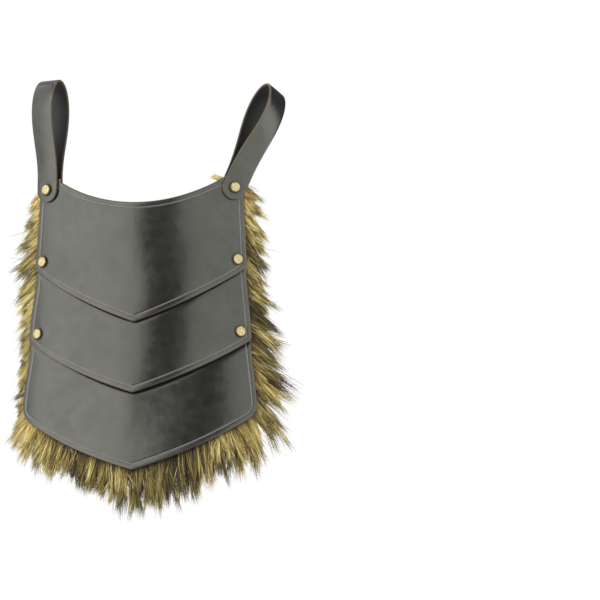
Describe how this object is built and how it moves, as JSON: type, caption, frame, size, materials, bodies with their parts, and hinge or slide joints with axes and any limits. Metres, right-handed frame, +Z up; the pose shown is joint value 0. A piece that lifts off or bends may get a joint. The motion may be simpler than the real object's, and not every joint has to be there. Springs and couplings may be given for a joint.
{
  "type": "leather tasset",
  "caption": "Curved leather thigh guard of overlapping pointed lames riveted at the sides, with two belt loops and a long-haired fur backing.",
  "frame": {"origin": "where the belt's middle line passes midway between the two belt loops", "axes": "+Z up as worn, +X to the viewer's right when facing the front, -Y the outer, convex front"},
  "size_m": [0.2867, 0.1033, 0.4455],
  "materials": {
    "leather": "waxed satin",
    "strap_leather": "waxed satin with brown cut edges",
    "brass": "satin, darkened rim",
    "fur": "long pile, straw with dark brown roots and tips"
  },
  "bodies": {
    "root": {"upper_lame": "leather", "middle_lame": "leather", "lower_lame": "leather", "left_loop": "strap_leather", "right_loop": "strap_leather", "shoulder_rivet_left": "brass", "shoulder_rivet_right": "brass", "upper_rivet_left": "brass", "upper_rivet_right": "brass", "lower_rivet_left": "brass", "lower_rivet_right": "brass", "fur_backing": "fur"}
  },
  "joints": []
}
